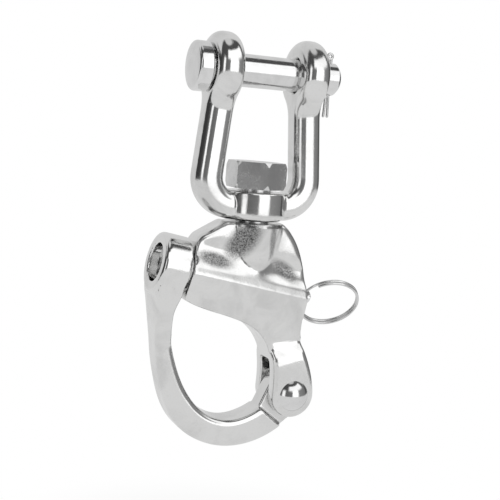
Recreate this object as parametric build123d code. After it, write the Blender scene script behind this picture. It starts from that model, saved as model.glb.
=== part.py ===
from build123d import *
import os
from math import cos, radians, sin, sqrt, tan

# Jaw swivel snap shackle, stainless steel, in millimetres: 128 mm from the ears to the bottom of the bail.
# The origin is the middle of the clevis pin. +X runs along the pin towards its cotter, +Z up the
# swivel axis, and -Y is the front. The plunger runs along a line of its own, a little down to the right:
# "along" is the distance on that line from the swivel axis, and "up" is square to it.

# Jaw
JAW_GAP = 19.4
EAR_THICKNESS = 8.8
EAR_RADIUS = 11.0
EAR_BORE_DIAMETER = 10.2
LEG_DEPTH = 10.4
LEG_BOTTOM_X = 16.5
LEG_FLARE_TOP_Z = -6.0
LEG_FLARE_BOTTOM_Z = -33.0
LEG_WIDTH = 9.0
LEG_BEND_RADIUS = 20.0
YOKE_FLOOR_Z = -36.8
YOKE_BOTTOM_Z = -45.3
YOKE_OUTER_CORNER_RADIUS = 12.5
YOKE_INNER_CORNER_RADIUS = 4.5
YOKE_EDGE_RADIUS = 3.7
EAR_NECK_RADIUS = 6.0
BOSS_RADIUS = 9.7
BOSS_TOP_Z = -36.4
BOSS_EDGE_RADIUS = 1.8
SMALL_EDGE_RADIUS = 0.4

# Clevis pin and cotter pin
PIN_DIAMETER = 10.0
PIN_HEAD_DIAMETER = 15.0
PIN_HEAD_THICKNESS = 4.2
PIN_HEAD_DOME = 0.7
PIN_HEAD_EDGE_RADIUS = 1.0
PIN_HEAD_GAP = 0.6
PIN_END_X = 24.4
PIN_END_CHAMFER = 1.0
COTTER_X = 22.0
COTTER_HOLE_DIAMETER = 2.4
COTTER_WIRE = 0.85
COTTER_LEG_END_Z = -11.6
COTTER_LEG_SPREAD = 0.68
COTTER_EYE_RADIUS = 0.8
COTTER_EYE_Z = 6.3

# Swivel bolt
HEX_ACROSS_FLATS = 16.5
HEX_HEIGHT = 8.2
HEX_BOTTOM_Z = -35.5
HEX_BEVEL_ANGLE = radians(22)
HEX_BEVEL_INSIDE_FLATS = 0.2
BOLT_DIAMETER = 10.0
BOLT_BORE_DIAMETER = 10.2
BOLT_END_Z = -57.6
BOLT_END_CHAMFER = 0.8
BOLT_END_GAP = 0.5

# Plunger line
PLUNGER_SLOPE = radians(11.5)
PLUNGER_LINE_Z = -65.6
PLUNGER_DIAMETER = 11.2
PLUNGER_TIP = -27.8
PLUNGER_TIP_CHAMFER = 1.4
PLUNGER_SHOULDER = -10.0
STEM_DIAMETER = 4.4
STEM_END = 22.3
STEM_END_CHAMFER = 0.6
RING_HOLE = 20.4
RING_HOLE_DIAMETER = 2.5
SPRING_CHAMBER_END = 9.0
SPRING_WIRE = 0.9
SPRING_MEAN_RADIUS = 4.3
SPRING_TURNS = 8

# Bail
EYE_RADIUS = 9.5
EYE_LEFT = -31.6
EYE_RIGHT = -22.9
EYE_HOLE_DIAMETER = 11.8
BAIL_DEPTH = 10.4
BAIL_EDGE_RADIUS = 1.8
TONGUE_THICKNESS = 6.4
TONGUE_RADIUS = 7.2
EYE_RIM_RADIUS = 1.2
FLARE_START = (-27.6, -84.0)
FLARE_START_WIDTH = 5.0
FLARE_END = (-27.4, -61.4)
FLARE_END_WIDTH = 10.0
FLARE_END_DEPTH = 18.4
SHOULDER_OUTSIDE = (13.9, -111.3)
SHOULDER_INSIDE = (6.0, -105.0)

# Body and fork
BODY_LEFT = -21.8
BODY_TOP_Z = -45.9
NECK_TOP_RADIUS = 9.4
NECK_BOTTOM_RADIUS = 6.6
NECK_BOTTOM_Z = -62.0
BODY_PLATE_DEPTH = 11.2
BODY_EDGE_RADIUS = 1.7
FORK_DEPTH = 15.6
FORK_SLOT = 6.8
FORK_STEP = (14.0, -85.9)
FORK_STEP_HEIGHT = 5.4
FORK_STEP_TILT = radians(15)
FORK_BEND_RADIUS = 4.0
RIDGE_LEFT_HALF_DEPTH = 8.9
RIDGE_RIGHT_HALF_DEPTH = 6.8
RIDGE_EDGE_RADIUS = 2.6
HOUSING_TOP_HALF_DEPTH = 5.4
HOUSING_TOP_UP = 9.4
HOUSING_BOTTOM_HALF_DEPTH = 5.2
HOUSING_BOTTOM_UP = -19.0
HOUSING_EDGE_RADIUS = 1.6
HOUSING_RIGHT = 21.0
FORK_SLOT_TOP_Z = -89.5
FORK_RADIUS = 7.3
RIVET_X = 15.9
RIVET_Z = -100.5
RIVET_DIAMETER = 6.0
RIVET_HEAD_RADIUS = 4.9
RIVET_HEAD_HEIGHT = 2.5

# Pull ring
RING_RADIUS = 9.6
RING_WIRE = 0.9
RING_PITCH = 1.1
RING_TILT = 38.0

RUNNING_CLEARANCE = 0.1

EAR_INNER_X = JAW_GAP / 2
EAR_OUTER_X = JAW_GAP / 2 + EAR_THICKNESS
LINE_DIRECTION = Vector(cos(PLUNGER_SLOPE), 0, -sin(PLUNGER_SLOPE))
LINE_PLANE = Plane(origin=(0, 0, PLUNGER_LINE_Z), x_dir=(0, 1, 0), z_dir=LINE_DIRECTION)
FROM_BOTTOM = (Align.CENTER, Align.CENTER, Align.MIN)
FROM_TOP = (Align.CENTER, Align.CENTER, Align.MAX)


def slab(face, depth):
    """A face drawn in X and Z, made into a plate of this depth about the middle plane."""
    return extrude(Plane.XZ * face, depth / 2, both=True)


def rod_along_x(start, end, radius):
    plane = Plane(origin=(start, 0, 0), x_dir=(0, 1, 0), z_dir=(1, 0, 0))
    return plane * Cylinder(radius, end - start, align=FROM_BOTTOM)


def rod_along_z(bottom, top, radius):
    return Pos(0, 0, bottom) * Cylinder(radius, top - bottom, align=FROM_BOTTOM)


def rod_through_rivet(depth, radius):
    plane = Plane(origin=(RIVET_X, -depth / 2, RIVET_Z), x_dir=(1, 0, 0), z_dir=(0, 1, 0))
    return plane * Cylinder(radius, depth, align=FROM_BOTTOM)


def rod_on_line(start, end, radius):
    return LINE_PLANE * (Pos(0, 0, start) * Cylinder(radius, end - start, align=FROM_BOTTOM))


def on_line(along, up):
    """The X and Z of a point beside the plunger line."""
    x = along * cos(PLUNGER_SLOPE) + up * sin(PLUNGER_SLOPE)
    z = PLUNGER_LINE_Z - along * sin(PLUNGER_SLOPE) + up * cos(PLUNGER_SLOPE)
    return (x, z)


def yoke_front_outline():
    """The U seen from the front, as one closed face in X and Z."""
    half_leg = LEG_WIDTH / 2
    flare = (LEG_BOTTOM_X - (EAR_INNER_X + half_leg)) / (LEG_FLARE_TOP_Z - LEG_FLARE_BOTTOM_Z)
    outer_corner_x = LEG_BOTTOM_X + half_leg + flare * (LEG_FLARE_BOTTOM_Z - YOKE_BOTTOM_Z)
    inner_corner_x = LEG_BOTTOM_X - half_leg + flare * (LEG_FLARE_BOTTOM_Z - YOKE_FLOOR_Z)
    top = EAR_RADIUS + 1
    right = [
        (outer_corner_x, YOKE_BOTTOM_Z),
        (EAR_OUTER_X, LEG_FLARE_TOP_Z),
        (EAR_OUTER_X, top),
        (EAR_INNER_X, top),
        (EAR_INNER_X, LEG_FLARE_TOP_Z),
        (inner_corner_x, YOKE_FLOOR_Z),
    ]
    left = [(-x, z) for x, z in reversed(right)]
    outline = make_face(Polyline(*right, *left, close=True))
    corners = outline.vertices().group_by(Axis.Y)
    outline = fillet(corners[0], YOKE_OUTER_CORNER_RADIUS)
    floor = outline.vertices().filter_by(lambda v: abs(v.Y - YOKE_FLOOR_Z) < 0.01)
    outline = fillet(floor, YOKE_INNER_CORNER_RADIUS)
    shoulders = outline.vertices().filter_by(lambda v: abs(v.Y - LEG_FLARE_TOP_Z) < 0.01)
    return fillet(shoulders, LEG_BEND_RADIUS)


def yoke_side_outline():
    """The ear on its leg seen from the side, as one closed face in Y and Z."""
    leg = Rectangle(LEG_DEPTH, -YOKE_BOTTOM_Z, align=(Align.CENTER, Align.MAX))
    outline = Circle(EAR_RADIUS) + leg
    neck = outline.vertices().filter_by(lambda v: -EAR_RADIUS < v.Y < 0)
    return fillet(neck, EAR_NECK_RADIUS)


def is_yoke_rim(edge):
    """True on the long edges round the U and its ears, and false on the seams across them."""
    direction = edge.tangent_at(0.5)
    along_y = abs(direction.Y) > 0.95 and abs(edge.center().Y) < 1
    across_leg = abs(direction.X) > 0.95 and abs(edge.center().X) > JAW_GAP / 2
    return not (along_y or across_leg)


def jaw_yoke():
    side = extrude(Plane.YZ * yoke_side_outline(), EAR_OUTER_X + LEG_WIDTH, both=True)
    yoke = slab(yoke_front_outline(), 2 * EAR_RADIUS + 2) & side
    yoke = fillet(yoke.edges().filter_by(is_yoke_rim), YOKE_EDGE_RADIUS)
    boss = rod_along_z(YOKE_BOTTOM_Z, BOSS_TOP_Z, BOSS_RADIUS)
    boss = fillet(boss.edges().sort_by(Axis.Z)[0], BOSS_EDGE_RADIUS)
    boss = fillet(boss.edges().sort_by(Axis.Z)[-1], SMALL_EDGE_RADIUS)
    yoke += boss
    yoke -= rod_along_z(YOKE_BOTTOM_Z - 1, BOSS_TOP_Z + 1, BOLT_BORE_DIAMETER / 2)
    return yoke - rod_along_x(-EAR_OUTER_X - 1, EAR_OUTER_X + 1, EAR_BORE_DIAMETER / 2)


def clevis_pin():
    head_start = -EAR_OUTER_X - PIN_HEAD_GAP - PIN_HEAD_THICKNESS
    head = rod_along_x(head_start, head_start + PIN_HEAD_THICKNESS, PIN_HEAD_DIAMETER / 2)
    head = fillet(head.edges().sort_by(Axis.X)[-1], SMALL_EDGE_RADIUS)
    rim = PIN_HEAD_DIAMETER / 2
    dome_radius = (rim**2 + PIN_HEAD_DOME**2) / (2 * PIN_HEAD_DOME)
    dome = Pos(head_start - PIN_HEAD_DOME + dome_radius, 0, 0) * Sphere(dome_radius)
    head += dome & rod_along_x(head_start - PIN_HEAD_DOME - 1, head_start + 1, rim)
    outer_rim = head.edges().filter_by(
        lambda e: abs(e.center().X - head_start) < 0.01 and e.length > 4 * rim
    )
    head = fillet(outer_rim, PIN_HEAD_EDGE_RADIUS)
    shank = rod_along_x(head_start + 1, PIN_END_X, PIN_DIAMETER / 2)
    shank = chamfer(shank.edges().sort_by(Axis.X)[-1], PIN_END_CHAMFER)
    hole = Pos(COTTER_X, 0, -PIN_DIAMETER) * Cylinder(
        COTTER_HOLE_DIAMETER / 2, 2 * PIN_DIAMETER, align=FROM_BOTTOM
    )
    return head + shank - hole


def cotter_pin():
    """Two half-round legs side by side, and a small eye on top, all of one bent wire."""
    leg_length = COTTER_EYE_Z - COTTER_LEG_END_Z
    wire = COTTER_WIRE / 2
    pieces = []
    for side in (-1, 1):
        top = Vector(COTTER_X + side * wire, 0, COTTER_EYE_Z)
        knee = Vector(COTTER_X + side * wire, 0, -PIN_DIAMETER / 2 - 0.3)
        tip = Vector(COTTER_X + side * COTTER_LEG_SPREAD, 0, COTTER_LEG_END_Z)
        for start, end in ((top, knee), (knee, tip)):
            run = end - start
            plane = Plane(origin=start, z_dir=run)
            pieces.append(plane * Cylinder(wire, run.length, align=FROM_BOTTOM))
        pieces.append(Pos(*knee) * Sphere(wire))
        pieces.append(Pos(*tip) * Sphere(wire))
    eye = Plane(origin=(COTTER_X, 0, COTTER_EYE_Z + COTTER_EYE_RADIUS), z_dir=(0, 1, 0))
    pieces.append(eye * Torus(COTTER_EYE_RADIUS, wire))
    web_height = leg_length - 6
    web = Pos(COTTER_X, 0, COTTER_EYE_Z) * Box(wire, wire, web_height, align=FROM_TOP)
    pin = web
    for piece in pieces:
        pin += piece
    return pin


def swivel_bolt():
    top = HEX_BOTTOM_Z + HEX_HEIGHT
    hexagon = RegularPolygon(HEX_ACROSS_FLATS / 2, 6, major_radius=False, rotation=30)
    head = Pos(0, 0, HEX_BOTTOM_Z) * extrude(hexagon, HEX_HEIGHT)
    corner_radius = HEX_ACROSS_FLATS / sqrt(3)
    run = corner_radius - HEX_ACROSS_FLATS / 2 + HEX_BEVEL_INSIDE_FLATS
    bevel = run * tan(HEX_BEVEL_ANGLE)
    turned = rod_along_z(HEX_BOTTOM_Z, top, corner_radius)
    turned = chamfer(turned.edges().sort_by(Axis.Z)[-1], run, bevel)
    turned = chamfer(turned.edges().sort_by(Axis.Z)[0], run, bevel)
    shank = rod_along_z(BOLT_END_Z, HEX_BOTTOM_Z + 1, BOLT_DIAMETER / 2)
    shank = chamfer(shank.edges().sort_by(Axis.Z)[0], BOLT_END_CHAMFER)
    return (head & turned) + shank


def body_outline():
    """The body and the fork arm seen from the front, in X and Z, without the round end of the fork."""
    left_top = on_line(BODY_LEFT, 9.0)
    left_bottom = on_line(BODY_LEFT, -8.6)
    right_side = Spline(
        (8.6, BODY_TOP_Z), (13.2, -50.6), (16.4, -57.5), (18.1, -65.0), (18.4, -69.4), (18.1, -73.4),
        (17.4, -78.6), (18.0, -83.0), (20.3, -89.0), (22.5, -95.6), (RIVET_X + FORK_RADIUS, RIVET_Z),
    )
    fork_end = ThreePointArc(
        (RIVET_X + FORK_RADIUS, RIVET_Z), (RIVET_X, RIVET_Z - FORK_RADIUS), (RIVET_X - FORK_RADIUS, RIVET_Z)
    )
    inside = Spline(
        (RIVET_X - FORK_RADIUS, RIVET_Z), (8.4, -92.0), (6.9, -86.0), (3.2, -80.6), (-3.4, -76.7),
        (-9.6, -74.6), left_bottom,
    )
    left_side = Polyline(left_bottom, left_top, (-18.4, -50.4), (-10.2, BODY_TOP_Z), (8.6, BODY_TOP_Z))
    return make_face(Curve() + [right_side, fork_end, inside, left_side])


def arm_depth():
    """Depth of the plate and of the fork: a bent step, square to the leaning fork, widens it."""
    plate = BODY_PLATE_DEPTH / 2
    fork = FORK_DEPTH / 2
    rise = FORK_STEP_HEIGHT / 2
    front = [(-plate, 60), (-plate, rise), (-fork, -rise), (-fork, -30)]
    back = [(-y, up) for y, up in reversed(front)]
    profile = make_face(Polyline(*front, *back, close=True))
    bends = profile.vertices().filter_by(lambda v: abs(v.Y) < rise + 0.1)
    profile = fillet(bends, FORK_BEND_RADIUS)
    x, z = FORK_STEP
    across = Vector(cos(FORK_STEP_TILT), 0, sin(FORK_STEP_TILT))
    plane = Plane(origin=(x, 0, z), x_dir=(0, 1, 0), z_dir=across)
    return extrude(plane * profile, 60, both=True)


def housing_section(ridge_half_depth):
    """A section across the plunger line: a ridge at the line's height, leaning in above and below it."""
    corners = [
        (ridge_half_depth, 0, RIDGE_EDGE_RADIUS),
        (HOUSING_TOP_HALF_DEPTH, HOUSING_TOP_UP, HOUSING_EDGE_RADIUS),
        (HOUSING_BOTTOM_HALF_DEPTH, HOUSING_BOTTOM_UP, HOUSING_EDGE_RADIUS),
    ]
    edges = ShapeList()
    for side in (-1, 1):
        for half_depth, up, radius in corners:
            corner = Pos(side * (half_depth - radius), up) * Circle(radius)
            edges += corner.edges()
    return make_hull(edges)


def plunger_housing():
    left = Pos(0, 0, BODY_LEFT) * housing_section(RIDGE_LEFT_HALF_DEPTH)
    right = Pos(0, 0, HOUSING_RIGHT) * housing_section(RIDGE_RIGHT_HALF_DEPTH)
    return LINE_PLANE * loft([left, right], ruled=True)


def shackle_body():
    plate = slab(body_outline(), 2 * FORK_DEPTH)
    plate &= arm_depth()
    faces = plate.faces().filter_by(lambda f: abs(f.normal_at().Y) > 0.99)
    plate = fillet(faces.edges(), BODY_EDGE_RADIUS)
    neck_side = Polyline(
        (0, BODY_TOP_Z), (NECK_TOP_RADIUS - 0.2, BODY_TOP_Z), (NECK_TOP_RADIUS, BODY_TOP_Z - 1.2),
        (NECK_BOTTOM_RADIUS, NECK_BOTTOM_Z), (0, NECK_BOTTOM_Z), close=True,
    )
    neck = revolve(Plane.XZ * make_face(neck_side), Axis.Z)
    housing = plunger_housing() & slab(body_outline(), 2 * FORK_DEPTH)
    body = plate + housing + neck
    body -= rod_along_z(BOLT_END_Z - BOLT_END_GAP, BODY_TOP_Z + 1, BOLT_DIAMETER / 2)
    body -= rod_on_line(BODY_LEFT - 2, SPRING_CHAMBER_END, PLUNGER_DIAMETER / 2 + RUNNING_CLEARANCE)
    body -= rod_on_line(SPRING_CHAMBER_END - 1, STEM_END, STEM_DIAMETER / 2 + RUNNING_CLEARANCE)
    slot = Box(80, FORK_SLOT, 60, align=FROM_TOP)
    body -= Pos(0, 0, FORK_SLOT_TOP_Z) * slot
    return body - rod_through_rivet(FORK_DEPTH + 2, RIVET_DIAMETER / 2)


def bail_outline():
    """The hook seen from the front, in X and Z: from inside the plunger's eye round to its shoulders."""
    eye_left = on_line(EYE_LEFT + 1.5, -2)
    eye_right = on_line(EYE_RIGHT - 1.5, -2)
    outside = Spline(
        eye_left, (-31.7, -69.6), (-30.7, -78.6), (-29.7, -87.6), (-28.2, -95.0), (-22.6, -108.4),
        (-13.7, -115.0), (-4.4, -117.2), (5.0, -115.9), SHOULDER_OUTSIDE,
    )
    inside = Spline(
        SHOULDER_INSIDE, (1.2, -107.4), (-5.4, -108.5), (-13.9, -105.0), (-19.3, -98.6), (-23.2, -90.0),
        (-25.1, -83.0), (-25.7, -77.4), (-25.4, -73.0), (-24.6, -70.6), eye_right,
    )
    shoulder = Line(SHOULDER_OUTSIDE, SHOULDER_INSIDE)
    return make_face(Curve() + [outside, shoulder, inside, Line(eye_right, eye_left)])


def is_bail_rim(edge):
    """True on the long curved edges round the hook, and false on the seams across it."""
    return edge.geom_type == GeomType.BSPLINE and abs(edge.center().Y) > 1


def bail_flare():
    """The arm swelling from its own depth to the width of the plunger's eye."""
    x, z = FLARE_START
    arm = Plane((x, 0, z)) * RectangleRounded(FLARE_START_WIDTH, BAIL_DEPTH, BAIL_EDGE_RADIUS)
    x, z = FLARE_END
    eye = Plane((x, 0, z)) * RectangleRounded(FLARE_END_WIDTH, FLARE_END_DEPTH, BAIL_EDGE_RADIUS)
    return loft([arm, eye]) & slab(bail_outline(), FLARE_END_DEPTH)


def bail_tongue():
    """The thin end inside the fork: a round end about the rivet, as wide as the shoulders where it starts."""
    round_end = Pos(RIVET_X, RIVET_Z) * Circle(TONGUE_RADIUS)
    root = Line(SHOULDER_OUTSIDE, SHOULDER_INSIDE)
    return slab(make_hull(round_end.edges() + root.edges()), TONGUE_THICKNESS)


def snap_bail():
    hook = slab(bail_outline(), BAIL_DEPTH)
    hook = fillet(hook.edges().filter_by(is_bail_rim), BAIL_EDGE_RADIUS)
    eye = rod_on_line(EYE_LEFT, EYE_RIGHT, EYE_RADIUS)
    eye = fillet(eye.edges().sort_by(Axis.X)[0], EYE_RIM_RADIUS)
    bail = hook + eye + bail_flare() + bail_tongue()
    bail -= rod_on_line(EYE_LEFT - 1, EYE_RIGHT + 1, EYE_HOLE_DIAMETER / 2)
    return bail - rod_through_rivet(BAIL_DEPTH, RIVET_DIAMETER / 2 + RUNNING_CLEARANCE)


def pivot_rivet():
    """A shank and two low domes, each a slice off a ball."""
    rivet = rod_through_rivet(FORK_DEPTH, RIVET_DIAMETER / 2)
    ball_radius = (RIVET_HEAD_RADIUS**2 + RIVET_HEAD_HEIGHT**2) / (2 * RIVET_HEAD_HEIGHT)
    for side in (-1, 1):
        ball_y = side * (FORK_DEPTH / 2 + RIVET_HEAD_HEIGHT - ball_radius)
        ball = Pos(RIVET_X, ball_y, RIVET_Z) * Sphere(ball_radius)
        outside = Pos(RIVET_X, side * (FORK_DEPTH / 2 + 10), RIVET_Z) * Box(20, 20, 20)
        rivet += ball & outside
    return rivet


def latch_plunger():
    head = rod_on_line(PLUNGER_TIP, PLUNGER_SHOULDER, PLUNGER_DIAMETER / 2)
    head = chamfer(head.edges().sort_by(Axis.X)[0], PLUNGER_TIP_CHAMFER)
    stem = rod_on_line(PLUNGER_SHOULDER - 1, STEM_END, STEM_DIAMETER / 2)
    stem = chamfer(stem.edges().sort_by(Axis.X)[-1], STEM_END_CHAMFER)
    hole = LINE_PLANE * Pos(0, 0, RING_HOLE) * Rot(0, 0, RING_TILT) * Rot(90, 0, 0)
    return head + stem - hole * Cylinder(RING_HOLE_DIAMETER / 2, 2 * STEM_DIAMETER)


def plunger_spring():
    """A wire coil round the stem, from the plunger's shoulder to the end of its chamber."""
    start = PLUNGER_SHOULDER + SPRING_WIRE
    length = SPRING_CHAMBER_END - SPRING_WIRE - start
    coil = Helix(length / SPRING_TURNS, length, SPRING_MEAN_RADIUS)
    section = Plane(origin=coil @ 0, z_dir=coil % 0) * Circle(SPRING_WIRE / 2)
    return LINE_PLANE * (Pos(0, 0, start) * sweep(section, coil, is_frenet=True))


def pull_ring():
    """A split ring: two flat turns side by side, joined by one short crossing."""
    plane = LINE_PLANE * Pos(0, 0, RING_HOLE + RING_RADIUS) * Rot(0, 0, RING_TILT) * Rot(0, 90, 0)
    lower = Pos(0, 0, -RING_PITCH / 2) * CenterArc((0, 0), RING_RADIUS, 40, 300)
    upper = Pos(0, 0, RING_PITCH / 2) * CenterArc((0, 0), RING_RADIUS, 20, 300)
    crossing = Spline(lower @ 1, upper @ 0, tangents=[lower % 1, upper % 0])
    ring = None
    for path in (lower, crossing, upper):
        turn = sweep(Plane(origin=path @ 0, z_dir=path % 0) * Circle(RING_WIRE / 2), path)
        ring = turn if ring is None else ring + turn
    return plane * ring


parts = {
    "jaw_yoke": jaw_yoke,
    "clevis_pin": clevis_pin,
    "cotter_pin": cotter_pin,
    "swivel_bolt": swivel_bolt,
    "shackle_body": shackle_body,
    "snap_bail": snap_bail,
    "pivot_rivet": pivot_rivet,
    "latch_plunger": latch_plunger,
    "plunger_spring": plunger_spring,
    "pull_ring": pull_ring,
}

os.makedirs("parts", exist_ok=True)
for name, make in parts.items():
    part = make()
    export_step(part, f"parts/{name}.step")
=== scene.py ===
import math

import bpy
import numpy as np
from mathutils import Matrix, Vector


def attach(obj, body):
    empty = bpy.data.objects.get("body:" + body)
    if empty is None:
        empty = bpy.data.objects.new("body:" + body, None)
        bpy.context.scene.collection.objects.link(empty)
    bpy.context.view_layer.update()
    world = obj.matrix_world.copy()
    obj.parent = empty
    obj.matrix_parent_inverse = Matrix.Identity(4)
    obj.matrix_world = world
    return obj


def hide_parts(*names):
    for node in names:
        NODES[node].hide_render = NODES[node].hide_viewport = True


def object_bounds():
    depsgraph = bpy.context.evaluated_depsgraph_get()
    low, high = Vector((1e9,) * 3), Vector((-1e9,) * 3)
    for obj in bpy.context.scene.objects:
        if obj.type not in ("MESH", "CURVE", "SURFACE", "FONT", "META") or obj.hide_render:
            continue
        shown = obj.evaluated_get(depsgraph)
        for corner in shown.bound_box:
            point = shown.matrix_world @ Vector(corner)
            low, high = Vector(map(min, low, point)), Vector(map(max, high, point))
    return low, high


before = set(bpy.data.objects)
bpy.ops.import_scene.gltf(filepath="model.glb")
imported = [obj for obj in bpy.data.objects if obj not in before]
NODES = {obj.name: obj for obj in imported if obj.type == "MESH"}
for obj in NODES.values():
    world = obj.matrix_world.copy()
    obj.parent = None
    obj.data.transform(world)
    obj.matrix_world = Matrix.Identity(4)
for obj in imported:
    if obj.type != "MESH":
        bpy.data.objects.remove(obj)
CAD_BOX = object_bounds()

# All lengths are in metres.
# The camera: where it stands round the part, in degrees, and how far away. It aims a little below
# its target.
CAMERA_YAW = 23.5
CAMERA_ELEVATION = 6.1
CAMERA_ROLL = 4.7
CAMERA_DISTANCE = 0.3087
CAMERA_TARGET = Vector((0, 0, -0.0494))
CAMERA_AIM_DROP = 0.0056
# Focal length and sensor width, in millimetres.
LENS = 71.06
SENSOR = 36.0
CLIP_START, CLIP_END = 0.01, 100

# Brightness of the background that the camera sees, and of the floor that the steel reflects.
BACKGROUND = 1.0
FLOOR_IN_REFLECTIONS = 0.76
# The floor lies below the part, clear of the bail when it swings open.
FLOOR_DROP = 0.050
FLOOR_RADIUS = 40
FLOOR_CORNERS = 96
FLOOR_GREY = 0.93
# The first and last distance of two fades: the matt middle into the background, and the floor out of
# the steel's reflections.
FLOOR_MATT = (0.0, 0.11)
FLOOR_REACH = (0.35, 0.60)

# The walls that the steel reflects, level with the part and higher up: azimuth in degrees and brightness.
WALLS = [
    (-180, 0.74), (-140, 0.68), (-132, 0.04), (-92, 0.05), (-70, 0.13), (-64, 1.20), (-52, 1.20),
    (-46, 0.13), (-6, 0.20), (0, 1.40), (32, 1.40), (40, 0.28), (92, 0.20), (100, 0.06), (118, 0.08),
    (130, 0.66), (180, 0.74),
]
HIGH_WALLS = [
    (-180, 0.70), (-140, 0.66), (-130, 0.06), (-36, 0.08), (-22, 1.25), (72, 1.25), (84, 0.10),
    (118, 0.12), (130, 0.68), (180, 0.70),
]
DARK_FLAG = 0.08
CEILING = 0.66
BACK_CEILING = 0.72
BELOW = 0.74

# The plunger's line, from the record's plunger joint: its height on the swivel axis, its fall per metre
# along X, and the cosine of its slope.
LINE_Z = -0.0656
LINE_FALL = 0.2035
LINE_COS = 0.98
# The bend that widens the body into its fork: where it is in X and Z, how it leans, how far it comes
# out, and how wide it is in the CAD and in the finished casting.
FORK_STEP = (0.0140, -0.0859)
FORK_TILT = math.radians(15)
FORK_RISE = 0.0022
FORK_BEND = 0.0054
FORK_BEND_STEEP = 0.0016
# The hollows in the body's webs: their depth, the half width of the neck between them, and the share of
# the depth that the neck is spared.
HOLLOW_DEPTH = 0.0011
NECK_HALF_WIDTH = 0.0055
NECK_SHARE = 0.85
# The ears of the jaw.
EAR_INNER = 0.0097
BORE_RADIUS = 0.0051
COUNTERSINK = 0.0010
COUNTERSINK_EDGE = 0.0002
PIN_LINE = 0.001
# The size of a cell when a casting is made into one smooth mesh.
VOXEL = 0.0003


# ---------------------------------------------------------------- node helpers

class Graph:
    """Short names for making and linking shader nodes in one tree."""

    def __init__(self, tree):
        self.tree = tree
        tree.nodes.clear()

    def node(self, kind, inputs=None, **settings):
        made = self.tree.nodes.new(kind)
        for name, value in settings.items():
            setattr(made, name, value)
        for name, value in (inputs or {}).items():
            self.feed(made.inputs[name], value)
        return made

    def feed(self, socket, value):
        if isinstance(value, bpy.types.NodeSocket):
            self.tree.links.new(value, socket)
        elif isinstance(value, bpy.types.Node):
            self.tree.links.new(value.outputs[0], socket)
        else:
            socket.default_value = value

    def math(self, operation, *values):
        made = self.node("ShaderNodeMath", operation=operation)
        for socket, value in zip(made.inputs, values):
            self.feed(socket, value)
        return made.outputs[0]

    def ramp(self, factor, stops, smooth=False):
        made = self.node("ShaderNodeValToRGB", {"Fac": factor})
        ramp = made.color_ramp
        ramp.interpolation = "EASE" if smooth else "LINEAR"
        while len(ramp.elements) < len(stops):
            ramp.elements.new(0.5)
        for element, (place, value) in zip(ramp.elements, stops):
            element.position = place
            shade = value if isinstance(value, tuple) else (value, value, value)
            element.color = (*shade, 1)
        return made.outputs["Color"]

    def fade(self, value, start, end, low=0.0, high=1.0):
        """low before start, high after end, and smooth in between."""
        made = self.node(
            "ShaderNodeMapRange",
            {"Value": value, "From Min": start, "From Max": end, "To Min": low, "To Max": high},
            interpolation_type="SMOOTHSTEP",
        )
        return made.outputs["Result"]

    def blend(self, factor, a, b):
        made = self.node("ShaderNodeMix", data_type="RGBA")
        self.feed(made.inputs["Factor"], factor)
        for socket, value in zip([s for s in made.inputs if s.type == "RGBA"], (a, b)):
            grey = isinstance(value, (int, float))
            self.feed(socket, (value, value, value, 1) if grey else value)
        return [s for s in made.outputs if s.type == "RGBA"][0]

    def noise(self, where, scale, detail=3.0, roughness=0.5, stretch=None, distortion=0.0):
        if stretch:
            where = self.node("ShaderNodeMapping", {"Vector": where, "Scale": stretch}).outputs[0]
        inputs = {"Vector": where, "Scale": scale, "Detail": detail}
        inputs.update({"Roughness": roughness, "Distortion": distortion})
        return self.node("ShaderNodeTexNoise", inputs).outputs[0]


# ---------------------------------------------------------------- materials

# Painted dark reflections: soft dark patches painted into the body's colour round its neck, in place of the
# dark studio reflections there, and made a little rougher: each has a centre in X and Z, a half width and a
# half height, a lean in degrees, and a strength.
PAINTED_REFLECTION_PATCHES = [
    (-0.0054, -0.0512, 0.0043, 0.0082, -30, 1.0),
    (-0.0138, -0.0574, 0.0066, 0.0023, -14, 0.95),
    (0.0104, -0.0608, 0.0062, 0.0026, -34, 0.95),
    (0.0042, -0.0506, 0.0014, 0.0066, 6, 0.7),
]
# Colour of the painted dark reflection, and the roughness added where it is painted.
PAINTED_REFLECTION_COLOUR = (0.06, 0.06, 0.06, 1)
DARK_PATCH_DULLNESS = 0.18


def painted_dark_reflection(g, where):
    """How much painted dark reflection shows at each point: soft patches, broken up into grains."""
    axes = g.node("ShaderNodeSeparateXYZ", {0: where}).outputs
    total = 0.0
    for x, z, wide, high, lean, strength in PAINTED_REFLECTION_PATCHES:
        dx, dz = g.math("SUBTRACT", axes[0], x), g.math("SUBTRACT", axes[2], z)
        c, s = math.cos(math.radians(lean)), math.sin(math.radians(lean))
        across = g.math("ADD", g.math("MULTIPLY", dx, c), g.math("MULTIPLY", dz, s))
        across = g.math("DIVIDE", across, wide)
        along = g.math("SUBTRACT", g.math("MULTIPLY", dz, c), g.math("MULTIPLY", dx, s))
        along = g.math("DIVIDE", along, high)
        squares = (g.math("MULTIPLY", v, v) for v in (across, along))
        reach = g.math("SQRT", g.math("ADD", *squares))
        total = g.math("MAXIMUM", total, g.fade(reach, 0.45, 1.25, strength, 0.0))
    grains = g.noise(where, 2300, 3, 0.75)
    return g.math("MULTIPLY", total, g.fade(grains, 0.34, 0.66, 0.50, 1.0))


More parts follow.
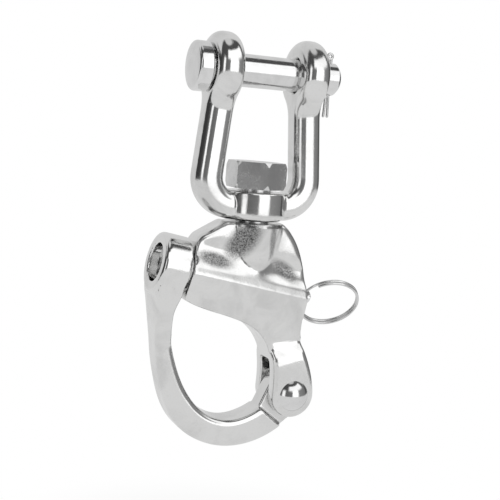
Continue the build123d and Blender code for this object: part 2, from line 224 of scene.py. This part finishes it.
def steel(name, tint, smooth, dull, grain, ripple, scratches, along=(1, 1, 1), painted_dark_reflections=False):
    """Polished stainless steel: ripples from grinding, fine grain, hairline scratches and patchy gloss.

    smooth and dull are the lowest and highest roughness, along stretches the scratches, and the last flag
    adds painted dark reflections: dark, rougher patches painted into the colour.
    """
    material = bpy.data.materials.new(name)
    material.use_nodes = True
    g = Graph(material.node_tree)
    where = g.node("ShaderNodeTexCoord").outputs["Object"]

    patches = g.noise(where, 90, 4, 0.6, distortion=0.6)
    fine = g.noise(where, 2600, 2, 0.6)
    hair = g.noise(where, 900, 3, 0.7, stretch=along, distortion=0.2)
    waves = g.noise(where, 170, 1, 0.4)

    worn = g.fade(hair, 0.60, 0.74)
    gloss = g.fade(patches, 0.35, 0.70, smooth, dull)
    gloss = g.math("ADD", gloss, g.math("MULTIPLY", worn, 0.10))
    gloss = g.math("ADD", gloss, g.math("MULTIPLY", g.math("SUBTRACT", fine, 0.5), 0.08))

    light = tuple(tint)
    dark = tuple(c * 0.86 for c in tint)
    colour = g.blend(g.fade(patches, 0.38, 0.72), (*light, 1), (*dark, 1))
    colour = g.blend(g.math("MULTIPLY", worn, 0.25), colour, (*(c * 0.7 for c in tint), 1))

    # Painted dark reflections: dark colour painted into these patches, with rougher gloss.
    if painted_dark_reflections:
        painted_dark = painted_dark_reflection(g, where)
        colour = g.blend(painted_dark, colour, PAINTED_REFLECTION_COLOUR)
        gloss = g.math("ADD", gloss, g.math("MULTIPLY", painted_dark, DARK_PATCH_DULLNESS))

    height = g.math("MULTIPLY", waves, ripple)
    height = g.math("ADD", height, g.math("MULTIPLY", fine, grain))
    height = g.math("SUBTRACT", height, g.math("MULTIPLY", worn, scratches))
    bump = g.node("ShaderNodeBump", {"Strength": 1.0, "Distance": 0.0001, "Height": height})

    shader = g.node(
        "ShaderNodeBsdfPrincipled",
        {"Base Color": colour, "Metallic": 1.0, "Roughness": gloss, "Normal": bump.outputs[0]},
    )
    g.node("ShaderNodeOutputMaterial", {"Surface": shader.outputs[0]})
    return material


def floor_material():
    """A floor that is pale and matt near the part, and runs out into the even background."""
    material = bpy.data.materials.new("pale_floor")
    material.use_nodes = True
    g = Graph(material.node_tree)
    where = g.node("ShaderNodeTexCoord").outputs["Object"]
    away = g.node("ShaderNodeVectorMath", {0: where}, operation="LENGTH").outputs["Value"]
    matt = g.node("ShaderNodeBsdfDiffuse", {"Color": (FLOOR_GREY, FLOOR_GREY, FLOOR_GREY, 1)})
    seen = g.node("ShaderNodeLightPath").outputs["Is Camera Ray"]
    even = g.node("ShaderNodeEmission", {"Color": (1, 1, 1, 1), "Strength": BACKGROUND})
    shown = g.node("ShaderNodeEmission", {"Color": (1, 1, 1, 1), "Strength": FLOOR_IN_REFLECTIONS})
    near = g.node("ShaderNodeMixShader", {0: g.fade(away, *FLOOR_MATT, 0.60, 1.0), 1: matt, 2: even})
    mixed = g.node("ShaderNodeMixShader", {0: seen, 1: shown, 2: near})
    open_air = g.node("ShaderNodeBsdfTransparent")
    beyond = g.math("MULTIPLY", g.math("SUBTRACT", 1.0, seen), g.fade(away, *FLOOR_REACH))
    mixed = g.node("ShaderNodeMixShader", {0: beyond, 1: mixed, 2: open_air})
    g.node("ShaderNodeOutputMaterial", {"Surface": mixed})
    return material


# ---------------------------------------------------------------- studio

def studio_world():
    """A light studio with two tall soft boxes, a wide high one, and dark flags beside and above them."""
    world = bpy.data.worlds.new("studio")
    world.use_nodes = True
    bpy.context.scene.world = world
    g = Graph(world.node_tree)
    direction = g.node("ShaderNodeTexCoord").outputs["Generated"]
    x, y, z = g.node("ShaderNodeSeparateXYZ", {0: direction}).outputs
    turn = g.math("ARCTAN2", x, g.math("MULTIPLY", y, -1.0))
    place = g.math("ADD", g.math("DIVIDE", turn, 2 * math.pi), 0.5)

    walls, high_walls = (
        g.ramp(place, [((azimuth + 180) / 360, shade) for azimuth, shade in row])
        for row in (WALLS, HIGH_WALLS)
    )
    front = g.blend(g.fade(z, 0.34, 0.56), walls, high_walls)
    front = g.blend(g.fade(z, 0.78, 0.84), front, DARK_FLAG)
    front = g.blend(g.fade(z, 0.92, 0.97), front, CEILING)
    back = g.blend(g.fade(z, 0.30, 0.45), walls, BACK_CEILING)
    sky = g.blend(g.fade(y, 0.08, 0.22), front, back)
    around = g.blend(g.fade(z, -0.17, -0.12), BELOW, sky)

    seen = g.node("ShaderNodeLightPath").outputs["Is Camera Ray"]
    colour = g.blend(seen, around, BACKGROUND)
    shader = g.node("ShaderNodeBackground", {"Color": colour, "Strength": 1.0})
    g.node("ShaderNodeOutputWorld", {"Surface": shader})


def floor():
    """A wide disc below the part, kept out of the exported model."""
    low = CAD_BOX[0]
    bpy.ops.mesh.primitive_circle_add(
        vertices=FLOOR_CORNERS, radius=FLOOR_RADIUS, fill_type="NGON",
        location=(0, 0, low.z - FLOOR_DROP),
    )
    made = bpy.context.object
    made.name = "floor"
    made.data.materials.append(floor_material())


def camera():
    """The camera, at the photograph's viewing angle."""
    data = bpy.data.cameras.new("camera")
    data.lens = LENS
    data.sensor_width = SENSOR
    data.clip_start, data.clip_end = CLIP_START, CLIP_END
    made = bpy.data.objects.new("camera", data)
    bpy.context.scene.collection.objects.link(made)
    yaw, elevation = math.radians(CAMERA_YAW), math.radians(CAMERA_ELEVATION)
    level = math.cos(elevation)
    back = Vector((-math.sin(yaw) * level, -math.cos(yaw) * level, math.sin(elevation)))
    eye = CAMERA_TARGET + back * CAMERA_DISTANCE
    aim = CAMERA_TARGET - Vector((0, 0, CAMERA_AIM_DROP))
    look = (aim - eye).to_track_quat("-Z", "Y").to_matrix().to_4x4()
    roll = Matrix.Rotation(math.radians(CAMERA_ROLL), 4, "Z")
    made.matrix_world = Matrix.Translation(eye) @ look @ roll
    bpy.context.scene.camera = made


# ---------------------------------------------------------------- the part

FINISHES = {
    "cast": steel("polished_cast_stainless", (0.82, 0.82, 0.815), 0.08, 0.17, 0.11, 0.16, 0.05),
    # The body's colour holds painted dark reflections round the neck.
    "body": steel(
        "cast_stainless_body", (0.82, 0.82, 0.815), 0.10, 0.19, 0.16, 0.20, 0.05, painted_dark_reflections=True,
    ),
    "forged": steel(
        "forged_stainless", (0.74, 0.74, 0.74), 0.20, 0.30, 0.10, 0.04, 0.05, along=(12, 12, 1),
    ),
    "turned": steel(
        "turned_stainless", (0.82, 0.82, 0.82), 0.06, 0.13, 0.03, 0.03, 0.05, along=(1, 12, 12),
    ),
    "wire": steel("drawn_stainless_wire", (0.76, 0.76, 0.76), 0.14, 0.24, 0.04, 0.02, 0.05),
}
FINISH_OF = {
    "jaw_yoke": "cast", "shackle_body": "body", "snap_bail": "cast",
    "clevis_pin": "turned", "swivel_bolt": "forged",
    "pivot_rivet": "turned", "latch_plunger": "turned",
    "cotter_pin": "wire", "plunger_spring": "wire", "pull_ring": "wire",
}


def dress():
    """Gives every CAD node its finish."""
    for name, finish in FINISH_OF.items():
        for slot in NODES[name].material_slots:
            slot.material = FINISHES[finish]


def modified(source, name, steps):
    """A new object with the source's mesh after these modifiers, each (kind, settings), all applied."""
    draft = bpy.data.objects.new(name + "_draft", source.data.copy())
    bpy.context.scene.collection.objects.link(draft)
    for kind, settings in steps:
        step = draft.modifiers.new(kind, kind)
        for key, value in settings.items():
            setattr(step, key, value)
    bpy.context.view_layer.update()
    graph = bpy.context.evaluated_depsgraph_get()
    mesh = bpy.data.meshes.new_from_object(draft.evaluated_get(graph))
    bpy.data.objects.remove(draft)
    mesh.name = name
    made = bpy.data.objects.new(name, mesh)
    bpy.context.scene.collection.objects.link(made)
    return made


def relax(made, amount, rounds, shape=None):
    """Reshapes a mesh, if asked, then moves each point towards its neighbours, by amount(point) a round."""
    mesh = made.data
    count = len(mesh.vertices)
    place = np.empty(count * 3)
    mesh.vertices.foreach_get("co", place)
    place = place.reshape(-1, 3)
    edges = np.empty(len(mesh.edges) * 2, dtype=np.int64)
    mesh.edges.foreach_get("vertices", edges)
    a, b = edges.reshape(-1, 2).T
    links = np.bincount(a, minlength=count) + np.bincount(b, minlength=count)
    if shape:
        shape(place)
    weight = amount(place)[:, None]
    for _ in range(rounds):
        sums = [np.bincount(a, place[b, k], count) + np.bincount(b, place[a, k], count) for k in range(3)]
        mean = np.stack(sums, axis=1) / links[:, None]
        place = place + weight * (mean - place)
    mesh.vertices.foreach_set("co", place.ravel())
    mesh.polygons.foreach_set("use_smooth", [True] * len(mesh.polygons))
    mesh.update()


def cast_piece(node, body, amount, rounds, shape=None):
    """The node's casting with its sharp creases blended into each other, as polishing leaves them."""
    remesh = ("REMESH", {"mode": "VOXEL", "voxel_size": VOXEL})
    made = modified(NODES[node], node + "_polished", [remesh])
    relax(made, amount, rounds, shape)
    made.data.materials.clear()
    made.data.materials.append(FINISHES[FINISH_OF[node]])
    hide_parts(node)
    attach(made, body)


def hollow_webs(place):
    """Hollows the webs above the body's ridge, and steepens the bend above the fork, as on the casting."""
    x, y, z = place.T
    up = (z - (LINE_Z - x * LINE_FALL)) * LINE_COS
    rise = smooth_step(up, 0.0020, 0.0058) * (1 - smooth_step(up, 0.0062, 0.0125))
    under_neck = np.exp(-((x / NECK_HALF_WIDTH) ** 2))
    inner = np.clip((np.abs(y) - 0.0025) / 0.0020, 0, 1)
    hollow = HOLLOW_DEPTH * rise * (1 - NECK_SHARE * under_neck) * inner
    lean = (x - FORK_STEP[0]) * math.sin(FORK_TILT)
    down = (FORK_STEP[1] + lean - z) * math.cos(FORK_TILT)
    now = np.clip(0.5 + down / FORK_BEND, 0, 1)
    steep = 0.5 + 0.5 * np.tanh(down / FORK_BEND_STEEP)
    outer = np.clip((np.abs(y) - 0.0034) / 0.0018, 0, 1) * smooth_step(x, 0.000, 0.006)
    step = FORK_RISE * (steep - now) * outer
    place[:, 1] += np.sign(y) * (step - hollow)


def smooth_step(value, start, end):
    """0 before start, 1 after end, and smooth in between."""
    t = np.clip((value - start) / (end - start), 0, 1)
    return t * t * (3 - 2 * t)


def countersink(place):
    """Opens the inner end of each ear's bore into a cone, which shows as a dark ring round the pin."""
    reach = np.hypot(place[:, 1], place[:, 2])
    depth = np.abs(place[:, 0]) - EAR_INNER
    wanted = BORE_RADIUS + COUNTERSINK - depth
    at_edge = (depth > -COUNTERSINK_EDGE) & (depth < COUNTERSINK)
    push = (at_edge & (reach < wanted) & (reach > PIN_LINE)) * (wanted - reach)
    place[:, 1:] *= (1 + push / np.maximum(reach, PIN_LINE))[:, None]


def jaw_softness(place):
    """How soft the jaw is at each point: most where each ear meets its leg, least at the bores."""
    reach = np.hypot(place[:, 1], place[:, 2])
    return 0.18 + 0.22 * np.clip((reach - 0.0072) / 0.002, 0, 1)


def body_softness(place):
    """How soft the body is at each point: most round the neck above the plunger, least at the fork."""
    x, z = place[:, 0], place[:, 2]
    above_ridge = np.clip((z - (LINE_Z - x * LINE_FALL) - 0.002) / 0.003, 0, 1)
    below_top = np.clip((-0.0475 - z) / 0.002, 0, 1)
    return 0.12 + 0.48 * above_ridge * below_top


def bail_softness(place):
    """How soft the bail is at each point: most where the arm meets the plunger's eye."""
    x, z = place[:, 0], place[:, 2]
    at_flare = np.clip((-0.018 - x) / 0.003, 0, 1) * np.clip((-0.069 - z) / 0.003, 0, 1)
    return 0.12 + 0.40 * at_flare


bpy.context.scene.view_settings.view_transform = "Standard"
camera()
studio_world()
floor()
dress()
cast_piece("jaw_yoke", "jaw", jaw_softness, 14, countersink)
cast_piece("shackle_body", "shackle", body_softness, 30, hollow_webs)
cast_piece("snap_bail", "bail", bail_softness, 30)
